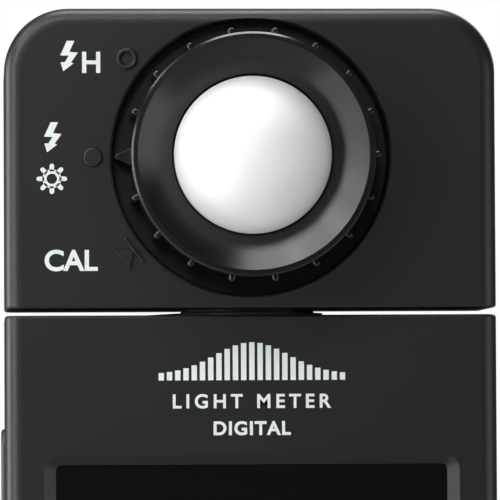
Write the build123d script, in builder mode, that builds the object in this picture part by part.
from build123d import *
from math import cos, radians, sin, sqrt
import os

# Hand-held light meter: a body with a large display, a head that turns on a vertical neck, and on the
# head a white receptor dome inside a ribbed selector ring. Millimetres, +Z up. The front faces -Y, and
# the origin is the mouth of the tripod socket, in the middle of the base.

os.makedirs("parts", exist_ok=True)

# ---- Overall sizes ----
width = 73.0
total_height = 183.0
depth = 27.0
neck_gap = 1.0
wall = 2.0
round_corner = 9.6          # the head's upper and the body's lower corners
face_edge = 2.4             # rounding round the front and back faces
gap_edge = 0.45             # rounding of the edges beside the neck gap
split_y = 0.5               # where the front and rear shells meet
recess_border = 1.9         # flat of the head above and below the ring's recess

# ---- Clearances ----
running = 0.06              # radial clearance of a shaft that turns
loose = 0.15                # round a key, a cover or a board in its place

# ---- Receptor and selector ring ----
dome_radius = 11.6
dome_height = 8.0
dome_wall = 1.3
dome_stand = 6.2            # the dome's widest circle in front of the head's face
ring_band = 6.35            # from the dome's widest circle to the ring's outside
ring_stand = 9.0            # the ring's rim in front of the head's face
rim_width = 0.95
bowl_depth = 2.6
bowl_gap = 0.35
ring_wall = 2.35
recess_room = 2.45          # round the ring
recess_depth = 5.2
recess_lip = 0.6
ring_lift = 0.4             # the ring's skirt over the recess floor
floor_thick = 2.0
rib_count = 18
rib_radius = 0.5
rib_drop = 2.0              # the ribs start this far behind the rim
pointer_length = 2.15       # outside the ring
pointer_half_width = 1.23
pointer_tip = 0.5           # radius of the pointer's rounded end
pointer_rise = 2.0          # the pointer's face in front of the head's face
ring_swing = 38.0           # degrees from the middle position to each end position
mark_room = 3.0             # from the recess to the middle of the raised marks
mark_rise = 0.5
mark_edge = 0.3             # rounding of the disc and the ring
arrow_edge = 0.15           # rounding of the triangle and its bar

# ---- Sleeve, hub, filters and click stop ----
hub_wall = 0.78             # outside the dome's foot
dome_seat = 1.0             # the ledge inside the hub that the dome's foot stands on
hub_flange = 1.4
hub_post_radius = 2.2
hub_screw_radius = 0.8
sleeve_wall = 1.45
snap_thick = 0.8
snap_width = 0.91
snap_groove = 0.6
ball_radius = 0.9
ball_drop = 0.28            # how deep the ball stands in the ring's track
stop_radius = 0.8
filter_thick = 0.8
filter_circle = 5.5
guide_radius = 1.5

# ---- Neck ----
shaft_radius = 7.5
shaft_wall = 2.5
bush_wall = 2.64            # where the bush passes through the body's top
bush_length = 6.9
washer_thick = 0.6
clip_thick = 0.8
clip_groove = 0.7
ramp_length, ramp_width = 7.25, 7.0

# ---- Display ----
glass_side = 7.5            # from the body's side
glass_low = 17.3            # above the base
glass_top = 22.1            # below the body's upper face
glass_corner = 0.9
glass_thick = 1.1
glass_recess = 1.2
bezel_slope = 1.75
bezel_slope_end = 1.45
glass_ledge = 1.0
gasket_thick = 0.3
panel_border = 1.6
panel_thick = 2.6

# ---- Board and batteries ----
board_thick = 1.2
board_gap = 0.4             # behind the display panel
board_side = 5.5            # from the body's side
cell_radius = 7.25
cell_length = 50.5
cell_spacing = 15.8
cell_z = 18.0
bay_wall = 1.0
contact_room = 5.0
cover_width = 38.0
cover_thick = 1.6
cover_tongue = 1.2

# ---- Keys ----
key_width, key_height, key_travel, key_rise = 13.0, 5.6, 0.5, 0.5
key_spacing = 30.0
key_z = 8.4
key_corner = 2.4
trigger_length, trigger_width, trigger_travel, trigger_rise = 27.5, 6.4, 0.7, 0.55
trigger_corner = 3.0
trigger_top = 16.7          # below the body's upper face
power_length, power_width, power_travel, power_rise = 10.0, 4.6, 0.4, 0.3
power_corner = 2.2
side_key_y = -4.2
key_flange = 0.9
key_skirt = 1.0

# ---- Base and sockets ----
tripod_bore = 2.55          # minor radius of the 1/4 inch tripod thread
tripod_length = 8.0
bush_outer = 4.5
screw_radius = 1.0
screw_head_radius = 1.9
boss_radius = 2.6
usb_z = 34.0
usb_width, usb_thick, usb_length = 7.6, 2.6, 5.6
flap_length, flap_width, flap_thick = 13.0, 6.6, 1.5
sync_z = 40.0
sync_radius = 4.2
sync_bore = 3.3
strap_side = 11.0           # from the body's side to the middle of the strap's pocket
strap_width, strap_room, strap_pin = 8.0, 6.0, 0.9

# ---- Sizes and places worked out from the sizes above ----
ring_radius = dome_radius + ring_band
recess_radius = ring_radius + recess_room
pointer_reach = ring_radius + pointer_length
mark_radius = recess_radius + mark_room
head_height = 2 * (recess_radius + recess_border)
front_y = -depth / 2
back_y = depth / 2
head_z = total_height - head_height
body_z = head_z - neck_gap
dial_z = head_z + head_height / 2 + 0.1
floor_y = front_y + recess_depth
floor_back_y = floor_y + floor_thick
rim_y = front_y - ring_stand
skirt_y = floor_y - ring_lift
dome_base_y = front_y - dome_stand
dome_sphere = (dome_radius**2 + dome_height**2) / (2 * dome_height)
bowl_radius = dome_radius + bowl_gap
bowl_y = rim_y + bowl_depth
rim_inner = ring_radius - rim_width
hub_radius = dome_radius + hub_wall
hub_bore = dome_radius - dome_seat
sleeve_bore = hub_radius + running
sleeve_radius = sleeve_bore + sleeve_wall
snap_radius = sleeve_radius + snap_width
hub_screw_circle = snap_radius + hub_post_radius + 0.6
click_circle = ring_radius - ring_wall / 2 + 0.025
hub_y = floor_back_y + 3.5
glass_width = width - 2 * glass_side
glass_height = body_z - glass_top - glass_low
glass_z = body_z - glass_top - glass_height / 2
glass_y = front_y + glass_recess
ledge_y = glass_y + glass_thick + gasket_thick
panel_y = ledge_y + glass_ledge
board_y = panel_y + panel_thick + board_gap
board_back_y = board_y + board_thick
board_width = width - 2 * board_side
board_low, board_high = 5.0, body_z - 15.4
bay_y = board_back_y + 1.5
cell_y = bay_y + bay_wall + cell_radius + 0.35
cell_x = cell_spacing / 2
bay_half = cell_x + cell_radius + 0.8
bay_low = cell_z - contact_room
bay_high = cell_z + cell_length + 1.2
cover_y = back_y - cover_thick
cover_top = bay_high + 2.5
cover_lip = 3.2
cover_lip_y = back_y - face_edge - 0.9
trigger_z = body_z - trigger_top - trigger_length / 2
power_z = body_z - trigger_top - power_length / 2
screw_x = width / 2 - 6.5
screw_low_z, screw_high_z = 12.0, body_z - 9.5
strap_x = strap_side - width / 2
upper_screw_x = screw_x - 1.5
head_screws_at = [(-screw_x, head_z + 6.5), (screw_x, head_z + 6.5),
                  (-upper_screw_x, total_height - 8.5), (upper_screw_x, total_height - 8.5)]
body_screws_at = [(x, z) for x in (-screw_x, screw_x) for z in (screw_low_z, screw_high_z)]
dial_axis = Axis((0, 0, dial_z), (0, 1, 0))
neck_axis = Axis((0, 0, 0), (0, 0, 1))
dial_section = Plane.XY.offset(dial_z)      # its x is a radius from the dial's axis, its y runs front to back
neck_section = Plane.XZ                     # its x is a radius from the neck's axis, its y is the height


# ---- Helpers ----
def facing(y):
    """The plane at depth y that looks forwards. Its x is X and its y is Z."""
    return Plane.XZ.offset(-y)


def side(x):
    """The plane at x that looks along +X. Its x is Y and its y is Z."""
    return Plane.YZ.offset(x)


def on_dial(radius, angle):
    """A point round the dial's axis, in the coordinates of a facing plane. 0 is +X, 90 is up."""
    return radius * cos(radians(angle)), dial_z + radius * sin(radians(angle))


def outline(low, high, low_radius, high_radius, inset=0.0):
    """A casing's outline, seen from the front, with its lower and upper corners rounded."""
    with BuildSketch() as shape:
        with Locations((0, (low + high) / 2)):
            Rectangle(width - 2 * inset, high - low - 2 * inset)
        for corners, radius in ((0, low_radius), (-1, high_radius)):
            if radius > inset:
                fillet(shape.vertices().group_by(Axis.Y)[corners], radius - inset)
    return shape.sketch_local


def casing(shape, face, gap_z):
    """A solid half casing, from the split plane to the face at that depth, with its outer edges rounded."""
    with BuildPart() as block:
        with BuildSketch(facing(split_y)):
            add(shape)
        extrude(amount=split_y - face)
        outer = block.faces().sort_by_distance((0, face, (body_z + head_z) / 2)).filter_by(Axis.Y)
        outer_face = [f for f in outer if abs(f.center().Y - face) < 0.01][0]
        fillet([e for e in outer_face.edges() if abs(e.center().Z - gap_z) > 0.01], face_edge)
        gap_face = [f for f in block.faces().filter_by(Axis.Z) if abs(f.center().Z - gap_z) < 0.01][0]
        fillet([e for e in gap_face.edges() if abs(e.center().Y - split_y) > 0.01], gap_edge)
    return block.part


def ring(inner, outer, y_from, y_to):
    """A plain ring or disc about the dial's axis."""
    with BuildPart() as made:
        with BuildSketch(facing(y_from)):
            with Locations((0, dial_z)):
                Circle(outer)
                if inner > 0:
                    Circle(inner, mode=Mode.SUBTRACT)
        extrude(amount=y_from - y_to)
    return made.part


def arc_slot(radius, middle, swing, slot_width):
    """A slot's face round the dial's axis, in a facing plane. It runs swing degrees to each side."""
    with BuildSketch() as slot:
        with Locations((0, dial_z)):
            Circle(radius + slot_width / 2)
            Circle(radius - slot_width / 2, mode=Mode.SUBTRACT)
        corners = [on_dial(3 * radius, middle + turn) for turn in (-swing, -swing / 3, swing / 3, swing)]
        Polygon((0, dial_z), *corners, align=None, mode=Mode.INTERSECT)
        with Locations(on_dial(radius, middle - swing), on_dial(radius, middle + swing)):
            Circle(slot_width / 2)
    return slot.sketch_local


def collar(inner, outer, z_from, z_to):
    """A plain ring or disc about the neck's axis."""
    with BuildPart() as made:
        with BuildSketch(Plane.XY.offset(z_from)):
            Circle(outer)
            if inner > 0:
                Circle(inner, mode=Mode.SUBTRACT)
        extrude(amount=z_to - z_from)
    return made.part


def block(x_from, x_to, y_from, y_to, z_from, z_to):
    """A plain box between two corners."""
    with BuildPart() as made:
        with BuildSketch(Plane.XY.offset(z_from)):
            with Locations(((x_from + x_to) / 2, (y_from + y_to) / 2)):
                Rectangle(x_to - x_from, y_to - y_from)
        extrude(amount=z_to - z_from)
    return made.part


def posts(places, radius, y_from, y_to):
    """Round posts that run front to back at those places."""
    with BuildPart() as made:
        with BuildSketch(facing(y_from)):
            with Locations(*places):
                Circle(radius)
        extrude(amount=y_from - y_to)
    return made.part


def coil(radius, wire, height, turns):
    """A coil spring that stands on the origin, along +Z."""
    with BuildPart() as made:
        with BuildLine():
            path = Helix(pitch=height / turns, height=height, radius=radius)
        with BuildSketch(Plane(origin=path @ 0, z_dir=path % 0)):
            Circle(wire)
        sweep(path=path.edge(), is_frenet=True)
    return made.part


def finish(piece, name):
    """Labels a finished sub-part and writes its file."""
    piece.part.label = name
    export_step(piece.part, f"parts/{name}.step")


# ---- Casing outlines ----
head_outline = outline(head_z, total_height, 0, round_corner)
head_inside = outline(head_z, total_height, 0, round_corner, wall)
body_outline = outline(0, body_z, round_corner, 0)
body_inside = outline(0, body_z, round_corner, 0, wall)
head_front_block = casing(head_outline, front_y, head_z)
head_rear_block = casing(head_outline, back_y, head_z)
body_front_block = casing(body_outline, front_y, body_z)
body_rear_block = casing(body_outline, back_y, body_z)

# The neck's parts are held between the two shells of the head and of the body.
shaft_bore = shaft_radius - shaft_wall
shaft_seat_radius = shaft_radius + 0.3
shaft_flange_radius = shaft_radius + 3.5
neck_flange_radius = shaft_radius + 2.5
shaft_top = head_z + wall + 1.5
bush_bore = shaft_radius + running
bush_radius = bush_bore + bush_wall
bush_flange_radius = bush_radius + 1.15
bush_low = body_z - bush_length
bush_seat_radius = bush_radius + 1.2
hub_screws_at = [on_dial(hub_screw_circle, angle) for angle in (90, 210, 330)]
keys_at = [(-key_spacing / 2, key_z), (key_spacing / 2, key_z)]

# ================= Head =================
def raised(shape, edge):
    """A raised mark on the head's face, with the rim of its front rounded. Its foot lies inside the wall."""
    foot_y = front_y + wall / 2
    with BuildPart() as made:
        with BuildSketch(facing(foot_y)):
            add(shape)
        extrude(amount=wall / 2 + mark_rise)
        fillet(made.faces().filter_by(Axis.Y).group_by(Axis.Y)[0].edges(), edge)
    return made.part


# Marks at the ring's three positions: a ring, a disc, and a triangle against a bar.
mark_angle = ring_swing + 0.5
low_mark = Location((*on_dial(mark_radius, 180 + mark_angle), 0), (0, 0, 180 + mark_angle))
with BuildSketch() as ring_mark:
    with Locations(on_dial(mark_radius, 180 - mark_angle)):
        Circle(1.6)
        Circle(0.9, mode=Mode.SUBTRACT)
with BuildSketch() as disc_mark:
    with Locations(on_dial(mark_radius, 180)):
        Circle(1.45)
with BuildSketch() as triangle_mark:
    with Locations(low_mark):
        Polygon((-1.2, 0), (1.15, 1.9), (1.15, -1.9), align=None)
with BuildSketch() as bar_mark:
    with Locations(low_mark * Location((-1.25, 0, 0))):
        Rectangle(0.4, 4.5)

with BuildPart() as head_front_shell:
    add(head_front_block)
    with BuildSketch(facing(split_y)):
        add(head_inside)
    extrude(amount=split_y - front_y - wall, mode=Mode.SUBTRACT)
    # The cup behind the face that the selector ring sits in.
    with BuildSketch(facing(front_y + wall)):
        with Locations((0, dial_z)):
            Circle(recess_radius + 1.8)
        add(head_inside, mode=Mode.INTERSECT)
    extrude(amount=front_y + wall - floor_back_y)
    with BuildSketch(dial_section):
        with BuildLine():
            Polyline(
                (0, floor_y), (recess_radius, floor_y), (recess_radius, front_y + recess_lip)
            )
            RadiusArc(
                (recess_radius, front_y + recess_lip), (recess_radius + recess_lip, front_y), -recess_lip
            )
            Polyline(
                (recess_radius + recess_lip, front_y), (recess_radius + recess_lip, front_y - 1),
                (0, front_y - 1), (0, floor_y),
            )
        make_face()
    revolve(axis=dial_axis, mode=Mode.SUBTRACT)
    # Posts for the hub's screws, the click stop's pocket and the shells' screws.
    add(posts(hub_screws_at, hub_post_radius, floor_back_y, hub_y))
    add(posts([on_dial(click_circle, 0)], 1.8, floor_back_y, floor_back_y + 2.0))
    add(posts(head_screws_at, boss_radius, front_y + wall, split_y))
    add(posts(hub_screws_at, hub_screw_radius, floor_back_y + 0.2, hub_y), mode=Mode.SUBTRACT)
    add(posts([on_dial(click_circle, 0)], ball_radius + running, floor_y, floor_back_y + 1.2),
        mode=Mode.SUBTRACT)
    add(posts(head_screws_at, screw_radius, front_y + wall + 2, split_y), mode=Mode.SUBTRACT)
    add(ring(0, sleeve_radius + running, floor_y - 0.1, floor_back_y + 0.1), mode=Mode.SUBTRACT)
    # The slot that stops the ring at each end of its travel.
    with BuildSketch(facing(floor_y)):
        add(arc_slot(click_circle, 180, ring_swing, 2 * stop_radius + 0.3))
    extrude(amount=-1.5, mode=Mode.SUBTRACT)
    # The seat of the neck's shaft in the underside.
    add(collar(0, shaft_seat_radius, head_z - 1, head_z + wall), mode=Mode.SUBTRACT)
    for mark, edge in ((ring_mark, mark_edge), (disc_mark, mark_edge),
                       (triangle_mark, arrow_edge), (bar_mark, arrow_edge)):
        add(raised(mark.sketch_local, edge))
finish(head_front_shell, "head_front_shell")

with BuildPart() as head_rear_shell:
    add(head_rear_block)
    with BuildSketch(facing(split_y)):
        add(head_inside)
    extrude(amount=-(back_y - wall - split_y), mode=Mode.SUBTRACT)
    add(posts(head_screws_at, boss_radius, split_y, back_y - wall))
    add(posts(head_screws_at, screw_radius + 0.1, split_y, back_y), mode=Mode.SUBTRACT)
    add(posts(head_screws_at, screw_head_radius + 0.1, back_y - 2.2, back_y), mode=Mode.SUBTRACT)
    add(collar(0, shaft_seat_radius, head_z - 1, head_z + wall), mode=Mode.SUBTRACT)
finish(head_rear_shell, "head_rear_shell")


def screws(places, y_tip, y_head):
    """Screws from the back, with a recess for the driver in each head."""
    with BuildPart() as made:
        with BuildSketch(facing(y_head - 1.6)):
            with Locations(*places):
                Circle(screw_head_radius)
        extrude(amount=-1.3)
        with BuildSketch(facing(y_tip)):
            with Locations(*places):
                Circle(screw_radius)
        extrude(amount=-(y_head - 1.6 - y_tip))
        with BuildSketch(facing(y_head - 0.3)):
            with Locations(*places):
                Rectangle(2.2, 0.5)
                Rectangle(0.5, 2.2)
        extrude(amount=0.8, mode=Mode.SUBTRACT)
    return made.part


with BuildPart() as head_screws:
    add(screws(head_screws_at, front_y + wall + 4, back_y - 0.6))
finish(head_screws, "head_screws")

# ================= Neck =================
with BuildPart() as swivel_shaft:
    with BuildSketch(neck_section):
        with BuildLine():
            Polyline(
                (shaft_bore, bush_low - 3.0), (shaft_radius, bush_low - 3.0),
                (shaft_radius, head_z - neck_gap / 2 + 0.05),
                (neck_flange_radius, head_z - neck_gap / 2 + 0.05),
                (neck_flange_radius, head_z), (shaft_seat_radius, head_z), (shaft_seat_radius, head_z + wall),
                (shaft_flange_radius, head_z + wall), (shaft_flange_radius, shaft_top),
                (shaft_bore, shaft_top), close=True,
            )
        make_face()
    revolve(axis=neck_axis)
    # A flat that keeps the flange clear of the ring's cup, and the clip's groove.
    add(block(-shaft_flange_radius, shaft_flange_radius, -shaft_flange_radius - 1, floor_back_y + 0.2,
              head_z + wall, shaft_top), mode=Mode.SUBTRACT)
    clip_z = bush_low - washer_thick - 0.1
    add(collar(shaft_radius - clip_groove, shaft_radius + 1, clip_z - clip_thick, clip_z), mode=Mode.SUBTRACT)
finish(swivel_shaft, "swivel_shaft")

ramp_top = body_z + neck_gap / 2 - 0.08
with BuildPart() as neck_bush:
    with BuildSketch(neck_section):
        with BuildLine():
            Polyline(
                (bush_bore, bush_low), (bush_seat_radius, bush_low), (bush_seat_radius, body_z - wall),
                (bush_radius, body_z - wall), (bush_radius, body_z), (bush_flange_radius, body_z),
                (bush_flange_radius, body_z + neck_gap / 2 - 0.05),
                (bush_bore, body_z + neck_gap / 2 - 0.05), close=True,
            )
        make_face()
    revolve(axis=neck_axis)
    # A shallow ramp on the body's top that leads up to the flange.
    with BuildSketch(Plane.XZ.offset(-ramp_width / 2)):
        with BuildLine():
            Polyline(
                (-bush_flange_radius - ramp_length, body_z), (-bush_flange_radius + 1, body_z),
                (-bush_flange_radius + 1, ramp_top), (-bush_flange_radius, ramp_top), close=True,
            )
        make_face()
    extrude(amount=ramp_width)
finish(neck_bush, "neck_bush")

with BuildPart() as swivel_washer:
    add(collar(bush_bore, shaft_radius + 2.4, bush_low - washer_thick, bush_low - 0.05))
finish(swivel_washer, "swivel_washer")

with BuildPart() as swivel_clip:
    add(collar(shaft_radius - clip_groove, shaft_radius + 1.8, clip_z - clip_thick, clip_z))
    with BuildSketch(Plane.XY.offset(clip_z)):
        with Locations((0, shaft_radius)):
            Rectangle(4.0, 6.0)
    extrude(amount=-clip_thick, mode=Mode.SUBTRACT)
finish(swivel_clip, "swivel_clip")

with BuildPart() as neck_cable:
    add(block(-3.0, 3.0, -0.15, 0.15, board_high + 1.5, shaft_top + 6.0))
    add(block(-3.2, 3.2, -0.9, 0.9, shaft_top + 4.0, shaft_top + 7.0))
finish(neck_cable, "neck_cable")

# ================= Hub, dome and filters =================
dome_foot_y = dome_base_y + 4.7
with BuildPart() as receptor_hub:
    add(ring(hub_bore, hub_radius, bowl_y + 1.4, hub_y))
    add(ring(0, hub_screw_circle - 1.6, hub_y, hub_y + hub_flange))
    add(posts(hub_screws_at, hub_post_radius + 0.1, hub_y, hub_y + hub_flange))
    add(ring(hub_bore, hub_bore + 1.05, bowl_y + 1.4, dome_foot_y), mode=Mode.SUBTRACT)
    add(posts(hub_screws_at, hub_screw_radius + 0.1, hub_y, hub_y + hub_flange), mode=Mode.SUBTRACT)
    add(posts([on_dial(filter_circle, 0)], guide_radius + 0.05, hub_y, hub_y + hub_flange),
        mode=Mode.SUBTRACT)
    # The clip's groove, and two windows for the arms of the filter disc.
    add(ring(hub_bore + 1.0, hub_bore + 1.35, dome_foot_y - 1.7, dome_foot_y - 1.1), mode=Mode.SUBTRACT)
    with BuildSketch(facing(hub_y - 3.9)):
        for middle in (90, 270):
            add(arc_slot((hub_bore + hub_radius) / 2, middle, ring_swing + 12, hub_radius - hub_bore + 1))
    extrude(amount=-1.8, mode=Mode.SUBTRACT)
finish(receptor_hub, "receptor_hub")

with BuildPart() as hub_screws:
    add(posts(hub_screws_at, 1.5, hub_y + hub_flange, hub_y + hub_flange + 1.1))
    add(posts(hub_screws_at, hub_screw_radius, floor_back_y + 0.4, hub_y + hub_flange))
finish(hub_screws, "hub_screws")

dome_bore = dome_radius - dome_wall
sphere_y = dome_base_y - dome_height + dome_sphere
with BuildPart() as dome:
    with BuildSketch(dial_section):
        with Locations((0, sphere_y)):
            Circle(dome_sphere)
        with Locations((0, dome_base_y)):
            Rectangle(width, dome_height + 1, align=(Align.MIN, Align.MAX), mode=Mode.INTERSECT)
        for foot_radius, foot_from, foot_to in (
            (dome_radius, dome_base_y, bowl_y + 1.0),
            (dome_radius - 0.5, bowl_y + 1.0, dome_foot_y - 1.0),
            (dome_radius, dome_foot_y - 1.0, dome_foot_y),
        ):
            with Locations((0, foot_from)):
                Rectangle(foot_radius, foot_to - foot_from, align=(Align.MIN, Align.MIN))
        with BuildSketch(mode=Mode.SUBTRACT):
            with Locations((0, sphere_y)):
                Circle(dome_sphere - dome_wall)
            with Locations((0, dome_foot_y + 1)):
                Rectangle(dome_bore - 0.5, dome_sphere + dome_foot_y, align=(Align.MIN, Align.MAX),
                          mode=Mode.INTERSECT)
        with Locations((0, dome_base_y - 1)):
            Rectangle(dome_bore - 0.5, dome_foot_y - dome_base_y + 2, align=(Align.MIN, Align.MIN),
                      mode=Mode.SUBTRACT)
    revolve(axis=dial_axis)
finish(dome, "dome")

with BuildPart() as dome_clip:
    add(ring(dome_radius - 0.4, hub_bore + 1.35, dome_foot_y - 1.7, dome_foot_y - 1.1))
    with BuildSketch(facing(dome_foot_y - 1.7)):
        with Locations((0, dial_z + dome_radius)):
            Rectangle(3.0, 3.0)
    extrude(amount=-0.6, mode=Mode.SUBTRACT)
finish(dome_clip, "dome_clip")

# ================= Selector ring =================
bowl_slope = bowl_depth / (rim_inner - bowl_radius)
bowl_thick = 1.4
rim_edge = 0.3
ring_bore = ring_radius - ring_wall


def bowl_back(radius):
    """Depth of the bowl's hidden side at a radius."""
    return bowl_y - (radius - bowl_radius) * bowl_slope + bowl_thick


with BuildPart() as pointer:
    with BuildSketch(facing(skirt_y)):
        with Locations((-pointer_reach + pointer_tip, dial_z)):
            Circle(pointer_tip)
        Polygon((-ring_radius + 1, dial_z + pointer_half_width), (-ring_radius, dial_z + pointer_half_width),
                (-pointer_reach + pointer_tip, dial_z + pointer_tip),
                (-pointer_reach + pointer_tip, dial_z - pointer_tip),
                (-ring_radius, dial_z - pointer_half_width), (-ring_radius + 1, dial_z - pointer_half_width),
                align=None)
    extrude(amount=skirt_y - front_y + pointer_rise)
    fillet(pointer.faces().filter_by(Axis.Y).group_by(Axis.Y)[0].edges(), arrow_edge)

with BuildPart() as selector_ring:
    with BuildSketch(dial_section):
        with BuildLine():
            Polyline(
                (bowl_radius, bowl_y), (rim_inner, rim_y), (ring_radius - rim_edge, rim_y),
                (ring_radius, rim_y + rim_edge), (ring_radius, skirt_y), (ring_bore, skirt_y),
                (ring_bore, bowl_back(ring_bore)),
                (sleeve_radius, bowl_back(sleeve_radius)), (sleeve_radius, hub_y - 1.4),
                (sleeve_bore, hub_y - 1.4), (sleeve_bore, bowl_y + 1.1), (bowl_radius, bowl_y + 1.1),
                close=True,
            )
        make_face()
    revolve(axis=dial_axis)
    # Finger ribs all round, except where the pointer stands.
    for number in range(rib_count):
        rib_angle = number * 360 / rib_count
        if rib_angle != 180:
            rib_x, rib_z = on_dial(ring_radius - 1.0 + rib_radius, rib_angle)
            with BuildSketch(facing(skirt_y)):
                with Locations(Location((rib_x, rib_z, 0), (0, 0, rib_angle))):
                    SlotOverall(4 * rib_radius + 1.0, 2 * rib_radius)
            extrude(amount=skirt_y - rim_y - rib_drop)
            tip_x, tip_z = on_dial(ring_radius + rib_radius, rib_angle)
            front_end = selector_ring.faces().filter_by(Axis.Y).sort_by_distance(
                (tip_x, rim_y + rib_drop, tip_z))[0]
            fillet([e for e in front_end.edges()
                    if sqrt(e.center().X**2 + (e.center().Z - dial_z)**2) > ring_radius + 0.1], 0.4)
    add(pointer)
    # The click stop's track with a pocket at each position, and the lug that runs in the stop slot.
    with BuildSketch(facing(skirt_y)):
        add(arc_slot(click_circle, 0, ring_swing, 2 * ball_radius - 0.1))
    extrude(amount=0.35, mode=Mode.SUBTRACT)
    add(posts([on_dial(click_circle, a) for a in (-ring_swing, 0, ring_swing)], ball_radius - 0.1,
              skirt_y - 0.8, skirt_y), mode=Mode.SUBTRACT)
    add(posts([on_dial(click_circle, 180)], stop_radius, skirt_y, floor_y + 1.2))
    snap_y = floor_back_y + 0.35
    add(ring(sleeve_radius - snap_groove, sleeve_radius + 1, snap_y, snap_y + snap_thick), mode=Mode.SUBTRACT)
finish(selector_ring, "selector_ring")

with BuildPart() as ring_retainer:
    add(ring(sleeve_radius - snap_groove, snap_radius, snap_y, snap_y + snap_thick))
    with BuildSketch(facing(snap_y)):
        with Locations((0, dial_z - sleeve_radius)):
            Rectangle(4.0, 5.0)
    extrude(amount=-snap_thick, mode=Mode.SUBTRACT)
finish(ring_retainer, "ring_retainer")

disc_y = hub_y - 3.4
disc_radius = hub_bore - 0.2
with BuildPart() as filter_disc:
    add(ring(0, disc_radius, disc_y, disc_y + filter_thick))
    with BuildSketch(facing(disc_y)):
        with Locations((0, dial_z)):
            Rectangle(5.0, 2 * sleeve_bore)
            Circle(sleeve_bore, mode=Mode.INTERSECT)
        with Locations((0, dial_z)):
            Circle(disc_radius)
    extrude(amount=-filter_thick)
    add(posts([on_dial(filter_circle, a) for a in (0, ring_swing)], guide_radius + 0.1,
              disc_y, disc_y + filter_thick), mode=Mode.SUBTRACT)
finish(filter_disc, "filter_disc")

with BuildPart() as nd_filter:
    add(posts([on_dial(filter_circle, ring_swing)], guide_radius + 0.1, disc_y, disc_y + filter_thick))
finish(nd_filter, "nd_filter")

with BuildPart() as detent_ball:
    with BuildSketch(dial_section):
        with Locations((click_circle, skirt_y - ball_drop + ball_radius)):
            Circle(ball_radius)
            Rectangle(2 * ball_radius, 2 * ball_radius, align=(Align.MAX, Align.CENTER), mode=Mode.SUBTRACT)
    revolve(axis=Axis((click_circle, 0, dial_z), (0, 1, 0)))
finish(detent_ball, "detent_ball")

with BuildPart() as detent_spring:
    spring_low = floor_back_y + 1.2
    spring_room = spring_low - (skirt_y - ball_drop + 2 * ball_radius)
    with Locations(Plane(origin=(click_circle, spring_low - 0.13, dial_z), z_dir=(0, -1, 0))):
        add(coil(ball_radius - 0.25, 0.12, spring_room - 0.3, 3))
finish(detent_spring, "detent_spring")

# ================= Spectrometer bench in the head =================
bench_y, bench_back_y = hub_y + 3.4, back_y - wall - 2.0
bench_x, bench_half_z, bench_wall = 17.0, 11.0, 1.2
with BuildPart() as optical_bench:
    add(block(-bench_x, bench_x, bench_y, bench_back_y, dial_z - bench_half_z, dial_z + bench_half_z))
    add(block(-bench_x + bench_wall, bench_x - bench_wall, bench_y + bench_wall, bench_back_y,
              dial_z - bench_half_z + bench_wall, dial_z + bench_half_z - bench_wall), mode=Mode.SUBTRACT)
    add(posts([on_dial(filter_circle, 0)], guide_radius + 0.05, bench_y, bench_y + bench_wall),
        mode=Mode.SUBTRACT)
finish(optical_bench, "optical_bench")

with BuildPart() as bench_lid:
    add(block(-bench_x, bench_x, bench_back_y, bench_back_y + 1.0,
              dial_z - bench_half_z, dial_z + bench_half_z))
finish(bench_lid, "bench_lid")

with BuildPart() as light_guide:
    add(posts([on_dial(filter_circle, 0)], guide_radius, disc_y + filter_thick + 0.5, bench_y + bench_wall))
finish(light_guide, "light_guide")

with BuildPart() as fold_mirror:
    with BuildSketch(Plane.XY.offset(dial_z - 3)):
        with Locations(Location((filter_circle, (bench_y + bench_back_y) / 2 + 1, 0), (0, 0, 45))):
            Rectangle(6.0, 0.8)
    extrude(amount=6)
finish(fold_mirror, "fold_mirror")

with BuildPart() as grating:
    with BuildSketch(Plane.XY.offset(dial_z - 6)):
        with Locations(Location((-bench_x + 4.0, (bench_y + bench_wall + bench_back_y) / 2, 0), (0, 0, 8))):
            Rectangle(1.6, 6.4)
    extrude(amount=12)
finish(grating, "grating")

with BuildPart() as sensor_board:
    add(block(bench_x - bench_wall - 1.0, bench_x - bench_wall, bench_y + 1.6, bench_back_y - 0.5,
              dial_z - 9, dial_z + 9))
finish(sensor_board, "sensor_board")

with BuildPart() as line_sensor:
    add(block(bench_x - bench_wall - 3.2, bench_x - bench_wall - 1.0, bench_y + 3.4, bench_back_y - 2.4,
              dial_z - 8, dial_z + 8))
finish(line_sensor, "line_sensor")

# ================= Body shells =================
flap_z = usb_z - flap_length / 2
flap_x = width / 2 - flap_thick - 0.1
usb_y = board_back_y + usb_thick / 2
flap_axis_x = flap_x + flap_thick / 2
flap_axis_z = flap_z + flap_thick / 2


def window(plane, length, height, radius):
    """The tool for a rounded hole through the casing's wall, centred on that plane."""
    with BuildPart() as made:
        with BuildSketch(plane):
            RectangleRounded(length + 2 * loose, height + 2 * loose, radius + loose)
        extrude(amount=wall, both=True)
    return made.part


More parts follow.
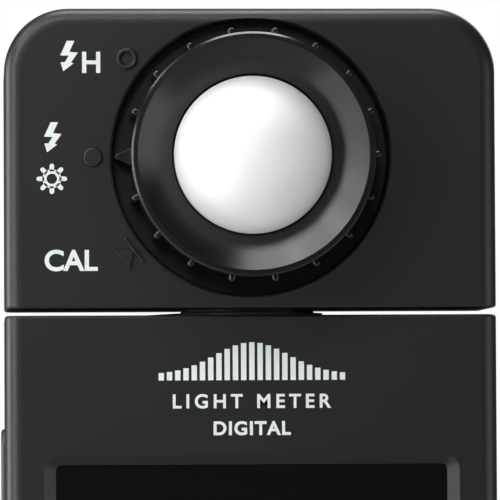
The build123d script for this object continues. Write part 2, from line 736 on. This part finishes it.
bush_tool_low = collar(0, bush_outer, -1, tripod_length)
with BuildPart() as body_front_shell:
    add(body_front_block)
    with BuildSketch(facing(split_y)):
        add(body_inside)
    extrude(amount=split_y - front_y - wall, mode=Mode.SUBTRACT)
    # The display's frame: a thicker wall behind the window, a ledge for the glass, and a sloped bezel.
    add(block(-glass_width / 2 - 2, glass_width / 2 + 2, front_y + wall, panel_y,
              glass_z - glass_height / 2 - 2, glass_z + glass_height / 2 + 2))
    with BuildSketch(facing(front_y)):
        with Locations((0, glass_z)):
            RectangleRounded(glass_width + 2 * bezel_slope, glass_height + 2 * bezel_slope_end, 2.4)
    with BuildSketch(facing(glass_y)):
        with Locations((0, glass_z)):
            RectangleRounded(glass_width, glass_height, glass_corner)
    loft(mode=Mode.SUBTRACT)
    with BuildSketch(facing(glass_y)):
        with Locations((0, glass_z)):
            RectangleRounded(glass_width, glass_height, glass_corner)
    extrude(amount=glass_y - ledge_y, mode=Mode.SUBTRACT)
    with BuildSketch(facing(ledge_y)):
        with Locations((0, glass_z)):
            RectangleRounded(glass_width - 2 * glass_ledge, glass_height - 2 * glass_ledge, 0.5)
    extrude(amount=ledge_y - panel_y, mode=Mode.SUBTRACT)
    # Keys below the display, and on the two sides.
    for key_x, _ in keys_at:
        add(window(Plane(origin=(key_x, front_y + wall / 2, key_z), z_dir=(0, -1, 0), x_dir=(1, 0, 0)),
                   key_width, key_height, key_corner), mode=Mode.SUBTRACT)
    wall_x = width / 2 - wall / 2
    add(window(Plane(origin=(-wall_x, side_key_y, trigger_z), z_dir=(-1, 0, 0), x_dir=(0, 0, 1)),
               trigger_length, trigger_width, trigger_corner), mode=Mode.SUBTRACT)
    add(window(Plane(origin=(wall_x, side_key_y, power_z), z_dir=(1, 0, 0), x_dir=(0, 0, 1)),
               power_length, power_width, power_corner), mode=Mode.SUBTRACT)
    # Posts for the screws, and the half boss of the tripod bush.
    add(posts(body_screws_at, boss_radius, front_y + wall, split_y))
    add(posts(body_screws_at, screw_radius, front_y + wall + 2, split_y), mode=Mode.SUBTRACT)
    with BuildSketch(Plane.XY.offset(wall)):
        Circle(bush_outer + 2.4)
        with Locations((0, split_y)):
            Rectangle(30, 30, align=(Align.CENTER, Align.MIN), mode=Mode.SUBTRACT)
    extrude(amount=tripod_length + 0.8 - wall)
    add(bush_tool_low, mode=Mode.SUBTRACT)
    add(collar(0, bush_outer + 1.2, 3.0, 4.6), mode=Mode.SUBTRACT)
    # The neck bush's seat.
    add(collar(0, bush_radius, body_z - wall - 1, body_z + 1), mode=Mode.SUBTRACT)
    # The socket flap's pocket and hinge pin holes, and the socket's own hole.
    flap_pocket = block(flap_x - 0.1, width / 2 + 1,
                        usb_y - flap_width / 2 - loose, usb_y + flap_width / 2 + loose,
                        flap_z - loose, flap_z + flap_length + loose)
    add(block(width / 2 - wall - 1.4, width / 2 - 1.0, usb_y - flap_width / 2 - 1.2, split_y,
              flap_z - 1.2, flap_z + flap_length + 1.2))
    add(flap_pocket, mode=Mode.SUBTRACT)
    add(block(width / 2 - wall - 2, width / 2, board_back_y - 0.1, board_back_y + usb_thick + 0.1,
              usb_z - usb_width / 2 - 0.1, usb_z + usb_width / 2 + 0.1), mode=Mode.SUBTRACT)
    with BuildSketch(facing(usb_y - flap_width / 2 - 0.8)):
        with Locations((flap_axis_x, flap_axis_z)):
            Circle(0.45)
    extrude(amount=-(flap_width + 1.6), mode=Mode.SUBTRACT)
    # The flash socket's hole on the left side.
    sync_y = side_key_y
    with BuildSketch(side(-width / 2 - 1)):
        with Locations((sync_y, sync_z)):
            Circle(sync_radius)
    extrude(amount=wall + 2, mode=Mode.SUBTRACT)
finish(body_front_shell, "body_front_shell")

with BuildPart() as body_rear_shell:
    add(body_rear_block)
    with BuildSketch(facing(split_y)):
        add(body_inside)
    extrude(amount=-(back_y - wall - split_y), mode=Mode.SUBTRACT)
    # The battery bay, the block that carries the cover's rails, and the tripod bush's half boss.
    add(block(-bay_half - 6, bay_half + 6, split_y, back_y - wall, bay_low - bay_wall, cover_top + 2))
    add(block(-bay_half - bay_wall, bay_half + bay_wall, bay_y, split_y,
              bay_low - bay_wall, bay_high + bay_wall))
    add(block(-bay_half - 6, bay_half + 6, back_y - face_edge - 2.4, back_y - wall, wall, bay_low))
    add(posts(body_screws_at, boss_radius, split_y, back_y - wall))
    with BuildSketch(Plane.XY.offset(wall)):
        Circle(bush_outer + 2.4)
        with Locations((0, split_y)):
            Rectangle(30, 30, align=(Align.CENTER, Align.MAX), mode=Mode.SUBTRACT)
    extrude(amount=tripod_length + 0.8 - wall)
    add(block(-bay_half, bay_half, bay_y + bay_wall, back_y, bay_low, bay_high), mode=Mode.SUBTRACT)
    add(block(-cover_width / 2 - loose, cover_width / 2 + loose, cover_y - 0.1, back_y + 1,
              -1, cover_top + loose), mode=Mode.SUBTRACT)
    add(block(-cover_width / 2 - cover_tongue - loose, cover_width / 2 + cover_tongue + loose, cover_y - 0.1,
              cover_y + 0.85, -1, cover_top + loose), mode=Mode.SUBTRACT)
    add(block(-cover_width / 2 - loose, cover_width / 2 + loose, cover_lip_y - loose, back_y + 1,
              -1, cover_lip + loose), mode=Mode.SUBTRACT)
    add(posts(body_screws_at, screw_radius + 0.1, split_y, back_y), mode=Mode.SUBTRACT)
    add(posts(body_screws_at, screw_head_radius + 0.1, back_y - 2.2, back_y), mode=Mode.SUBTRACT)
    add(bush_tool_low, mode=Mode.SUBTRACT)
    add(collar(0, bush_outer + 1.2, 3.0, 4.6), mode=Mode.SUBTRACT)
    add(collar(0, bush_radius, body_z - wall - 1, body_z + 1), mode=Mode.SUBTRACT)
    # The sounder's holes.
    with BuildSketch(facing(back_y)):
        with Locations((0, body_z - 32)):
            with GridLocations(2.6, 2.6, 3, 3):
                Circle(0.6)
    extrude(amount=wall + 0.1, mode=Mode.SUBTRACT)
    # The strap's pocket in the lower corner, open at the back and the base.
    add(block(strap_x - strap_width / 2 - 1.2, strap_x + strap_width / 2 + 1.2,
              back_y - wall - strap_room + 0.8, back_y - wall, wall, wall + strap_room))
    add(block(strap_x - strap_width / 2, strap_x + strap_width / 2, back_y - strap_room, back_y + 1,
              -1, strap_room), mode=Mode.SUBTRACT)
    strap_y, strap_z = back_y - 2.2, 2.2
    with BuildSketch(side(strap_x - strap_width / 2 - 0.9)):
        with Locations((strap_y, strap_z)):
            Circle(strap_pin)
    extrude(amount=strap_width + 1.8, mode=Mode.SUBTRACT)
finish(body_rear_shell, "body_rear_shell")

with BuildPart() as strap_bar:
    with BuildSketch(side(strap_x - strap_width / 2 - 0.9)):
        with Locations((strap_y, strap_z)):
            Circle(strap_pin)
    extrude(amount=strap_width + 1.8)
finish(strap_bar, "strap_bar")

with BuildPart() as body_screws:
    add(screws(body_screws_at, front_y + wall + 4, back_y - 0.6))
finish(body_screws, "body_screws")

with BuildPart() as tripod_bush:
    add(collar(tripod_bore, bush_outer, 0, tripod_length))
    add(collar(tripod_bore, bush_outer + 1.2, 3.0, 4.6))
    chamfer(tripod_bush.edges().filter_by(GeomType.CIRCLE).filter_by(
        lambda e: e.center().Z < 0.01 and e.radius < tripod_bore + 0.1), 0.4)
finish(tripod_bush, "tripod_bush")

# ================= Display =================
with BuildPart() as display_glass:
    with BuildSketch(facing(glass_y)):
        with Locations((0, glass_z)):
            RectangleRounded(glass_width - 0.1, glass_height - 0.1, glass_corner - 0.05)
    extrude(amount=-glass_thick)
finish(display_glass, "display_glass")

with BuildPart() as display_gasket:
    with BuildSketch(facing(glass_y + glass_thick)):
        with Locations((0, glass_z)):
            RectangleRounded(glass_width - 0.1, glass_height - 0.1, glass_corner - 0.05)
            RectangleRounded(glass_width - 2 * glass_ledge, glass_height - 2 * glass_ledge, 0.5,
                             mode=Mode.SUBTRACT)
    extrude(amount=-gasket_thick)
finish(display_gasket, "display_gasket")

with BuildPart() as lcd_module:
    with BuildSketch(facing(panel_y)):
        with Locations((0, glass_z)):
            RectangleRounded(glass_width + 2 * panel_border, glass_height + 2 * panel_border, 0.8)
    extrude(amount=-panel_thick)
    with BuildSketch(facing(ledge_y)):
        with Locations((0, glass_z)):
            RectangleRounded(glass_width - 2 * glass_ledge - 0.2, glass_height - 2 * glass_ledge - 0.2, 0.4)
    extrude(amount=ledge_y - panel_y)
finish(lcd_module, "lcd_module")

# ================= Main board =================
with BuildPart() as main_board:
    with BuildSketch(facing(board_y)):
        with Locations((0, board_high)):
            Rectangle(board_width, board_high - screw_low_z - boss_radius - 0.4,
                      align=(Align.CENTER, Align.MAX))
        with Locations((0, board_low)):
            Rectangle(board_width - 18, 20, align=(Align.CENTER, Align.MIN))
            Rectangle(12, tripod_length + 1.6 - board_low, align=(Align.CENTER, Align.MIN),
                      mode=Mode.SUBTRACT)
    extrude(amount=-board_thick)
finish(main_board, "main_board")

with BuildPart() as board_chips:
    for chip_x, chip_z, chip_width, chip_height in (
        (-9, body_z - 42, 14, 14), (12, body_z - 40, 9, 11), (-22, body_z - 50, 7, 7), (22, body_z - 58, 6, 9)
    ):
        add(block(chip_x - chip_width / 2, chip_x + chip_width / 2, board_back_y, board_back_y + 1.1,
                  chip_z - chip_height / 2, chip_z + chip_height / 2))
finish(board_chips, "board_chips")

with BuildPart() as buzzer:
    with BuildSketch(facing(board_back_y)):
        with Locations((0, body_z - 25)):
            Circle(5.5)
    extrude(amount=-2.4)
finish(buzzer, "buzzer")

key_back_y = front_y + wall + key_skirt
switch_y = key_back_y + 0.6 + key_travel
with BuildPart() as key_switches:
    for key_x, _ in keys_at:
        add(block(key_x - 2.6, key_x + 2.6, switch_y + 0.8, board_y, key_z - 2.6, key_z + 2.6))
    add(posts(keys_at, 1.3, switch_y, switch_y + 0.8))
finish(key_switches, "key_switches")


def front_key(x, name):
    """A rounded key in the front face, with a flange that keeps it in."""
    with BuildPart() as key:
        with BuildSketch(facing(key_back_y)):
            with Locations((x, key_z)):
                RectangleRounded(key_width, key_height, key_corner)
        extrude(amount=key_back_y - front_y + key_rise)
        fillet(key.faces().sort_by(Axis.Y)[0].edges(), 0.5)
        with BuildSketch(facing(key_back_y)):
            with Locations((x, key_z)):
                RectangleRounded(key_width + 2 * key_flange, key_height + 2 * key_flange,
                                 key_corner + key_flange)
        extrude(amount=key_skirt - 0.1)
        with BuildSketch(facing(key_back_y)):
            with Locations((x, key_z)):
                Circle(1.4)
        extrude(amount=-0.5)
    finish(key, name)


front_key(-key_spacing / 2, "memory_button")
front_key(key_spacing / 2, "menu_button")


def side_key(sign, z, length, key_size, rise, radius, edge, name):
    """A key in the left (-1) or right (+1) side, with a flange inside the wall."""
    inside_x = sign * (width / 2 - wall - key_skirt)
    plane = Plane(origin=(inside_x, side_key_y, z), z_dir=(sign, 0, 0), x_dir=(0, 0, 1))
    with BuildPart() as key:
        with BuildSketch(plane):
            RectangleRounded(length, key_size, radius)
        extrude(amount=wall + key_skirt + rise)
        outer = key.faces().sort_by(Axis.X)[-1 if sign > 0 else 0]
        fillet(outer.edges(), edge)
        with BuildSketch(plane):
            RectangleRounded(length + 2 * key_flange, key_size + 2 * key_flange, radius + key_flange)
        extrude(amount=key_skirt - 0.1)
    finish(key, name)


side_key(-1, trigger_z, trigger_length, trigger_width, trigger_rise, trigger_corner, 0.6, "measure_button")
side_key(1, power_z, power_length, power_width, power_rise, power_corner, 0.28, "power_button")

trigger_inside = width / 2 - wall - key_skirt
with BuildPart() as measure_switch:
    add(block(-trigger_inside + trigger_travel + 0.9, -trigger_inside + trigger_travel + 4.0, board_back_y,
              board_back_y + 3.4, trigger_z - 3, trigger_z + 3))
    add(block(-trigger_inside + trigger_travel + 0.1, -trigger_inside + trigger_travel + 0.9,
              board_back_y + 1.0, board_back_y + 2.6, trigger_z - 1.4, trigger_z + 1.4))
finish(measure_switch, "measure_switch")

with BuildPart() as power_switch:
    add(block(trigger_inside - power_travel - 4.0, trigger_inside - power_travel - 0.9, board_back_y,
              board_back_y + 3.0, power_z - 2.2, power_z + 2.2))
    add(block(trigger_inside - power_travel - 0.9, trigger_inside - power_travel - 0.1, board_back_y + 0.9,
              board_back_y + 2.3, power_z - 1.1, power_z + 1.1))
finish(power_switch, "power_switch")

# ================= Batteries =================
with BuildPart() as battery_cells:
    for cell_side in (-1, 1):
        with BuildSketch(Plane.XY.offset(cell_z)):
            with Locations((cell_side * cell_x, cell_y)):
                Circle(cell_radius)
        extrude(amount=cell_length - 1.0)
        with BuildSketch(Plane.XY.offset(cell_z + cell_length - 1.0)):
            with Locations((cell_side * cell_x, cell_y)):
                Circle(2.75)
        extrude(amount=1.0)
finish(battery_cells, "battery_cells")

with BuildPart() as battery_contacts:
    add(block(-cell_x - 5, cell_x + 5, cell_y - 5, cell_y + 5, bay_high - 0.7, bay_high))
    for cell_side in (-1, 1):
        add(block(cell_side * cell_x - 5, cell_side * cell_x + 5, cell_y - 5, cell_y + 5,
                  bay_low, bay_low + 0.5))
finish(battery_contacts, "battery_contacts")

with BuildPart() as battery_springs:
    for cell_side in (-1, 1):
        with Locations((cell_side * cell_x, cell_y, bay_low + 0.87)):
            add(coil(3.2, 0.35, contact_room - 1.25, 3))
finish(battery_springs, "battery_springs")

with BuildPart() as battery_cover:
    add(body_rear_block)
    with BuildSketch(side(-width)) as cover_profile:
        with BuildLine():
            Polyline(
                (cover_lip_y, -1), (back_y + 1, -1), (back_y + 1, cover_top), (cover_y, cover_top),
                (cover_y, cover_lip), (cover_lip_y, cover_lip), close=True,
            )
        make_face()
    extrude(amount=2 * width, mode=Mode.INTERSECT)
    with BuildSketch(facing(split_y)):
        with Locations((0, -1)):
            Rectangle(cover_width, cover_top + 1, align=(Align.CENTER, Align.MIN))
    extrude(amount=-depth, mode=Mode.INTERSECT)
    for cover_side in (-1, 1):
        tongue_x = sorted((cover_side * cover_width / 2, cover_side * (cover_width / 2 + cover_tongue)))
        add(block(*tongue_x, cover_y, cover_y + 0.7, cover_lip, cover_top))
    # Finger grooves near the lower end.
    with BuildSketch(facing(back_y)):
        with Locations((0, cell_z)):
            with GridLocations(1, 2.4, 1, 5):
                SlotOverall(cover_width / 2 - 1, 1.1)
    extrude(amount=0.35, mode=Mode.SUBTRACT)
finish(battery_cover, "battery_cover")

# ================= Sockets =================
with BuildPart() as usb_socket:
    add(block(flap_x - 0.3 - usb_length, flap_x - 0.3, board_back_y, board_back_y + usb_thick,
              usb_z - usb_width / 2, usb_z + usb_width / 2))
    add(block(flap_x - usb_length + 0.5, flap_x - 0.3, board_back_y + 0.4, board_back_y + usb_thick - 0.4,
              usb_z - usb_width / 2 + 0.5, usb_z + usb_width / 2 - 0.5), mode=Mode.SUBTRACT)
    add(block(flap_x - usb_length + 0.4, flap_x - 1.0, board_back_y + 1.0, board_back_y + usb_thick - 1.0,
              usb_z - usb_width / 2 + 1.6, usb_z + usb_width / 2 - 1.6))
finish(usb_socket, "usb_socket")

with BuildPart() as usb_cover:
    with BuildSketch(facing(usb_y - flap_width / 2)):
        with Locations((flap_axis_x, flap_axis_z)):
            Circle(flap_thick / 2)
        with Locations((flap_axis_x, flap_axis_z)):
            Rectangle(flap_thick, flap_length - flap_thick / 2, align=(Align.CENTER, Align.MIN))
    extrude(amount=-flap_width)
    with BuildSketch(facing(usb_y - flap_width / 2 - 0.65)):
        with Locations((flap_axis_x, flap_axis_z)):
            Circle(0.4)
    extrude(amount=-(flap_width + 1.3))
finish(usb_cover, "usb_cover")

sync_face_x = -width / 2 + 0.3
sync_length, sync_base, cap_plug = 5.0, 2.0, 2.4
with BuildPart() as sync_socket:
    with BuildSketch(side(sync_face_x)):
        with Locations((sync_y, sync_z)):
            Circle(sync_radius)
            Circle(sync_bore, mode=Mode.SUBTRACT)
    extrude(amount=sync_length)
    with BuildSketch(side(sync_face_x + sync_length - sync_base)):
        with Locations((sync_y, sync_z)):
            Circle(sync_radius)
    extrude(amount=sync_base)
    with BuildSketch(side(sync_face_x + 1.2)):
        with Locations((sync_y, sync_z)):
            Circle(0.6)
    extrude(amount=sync_length - 1.2)
finish(sync_socket, "sync_socket")

with BuildPart() as sync_cap:
    with BuildSketch(side(-width / 2 - 0.9)):
        with Locations((sync_y, sync_z)):
            Circle(sync_radius + 0.7)
    extrude(amount=0.8)
    fillet(sync_cap.faces().sort_by(Axis.X)[0].edges(), 0.4)
    with BuildSketch(side(-width / 2 - 0.1)):
        with Locations((sync_y, sync_z)):
            Circle(sync_bore - running)
            Circle(sync_bore - 1.2, mode=Mode.SUBTRACT)
    extrude(amount=cap_plug)
finish(sync_cap, "sync_cap")
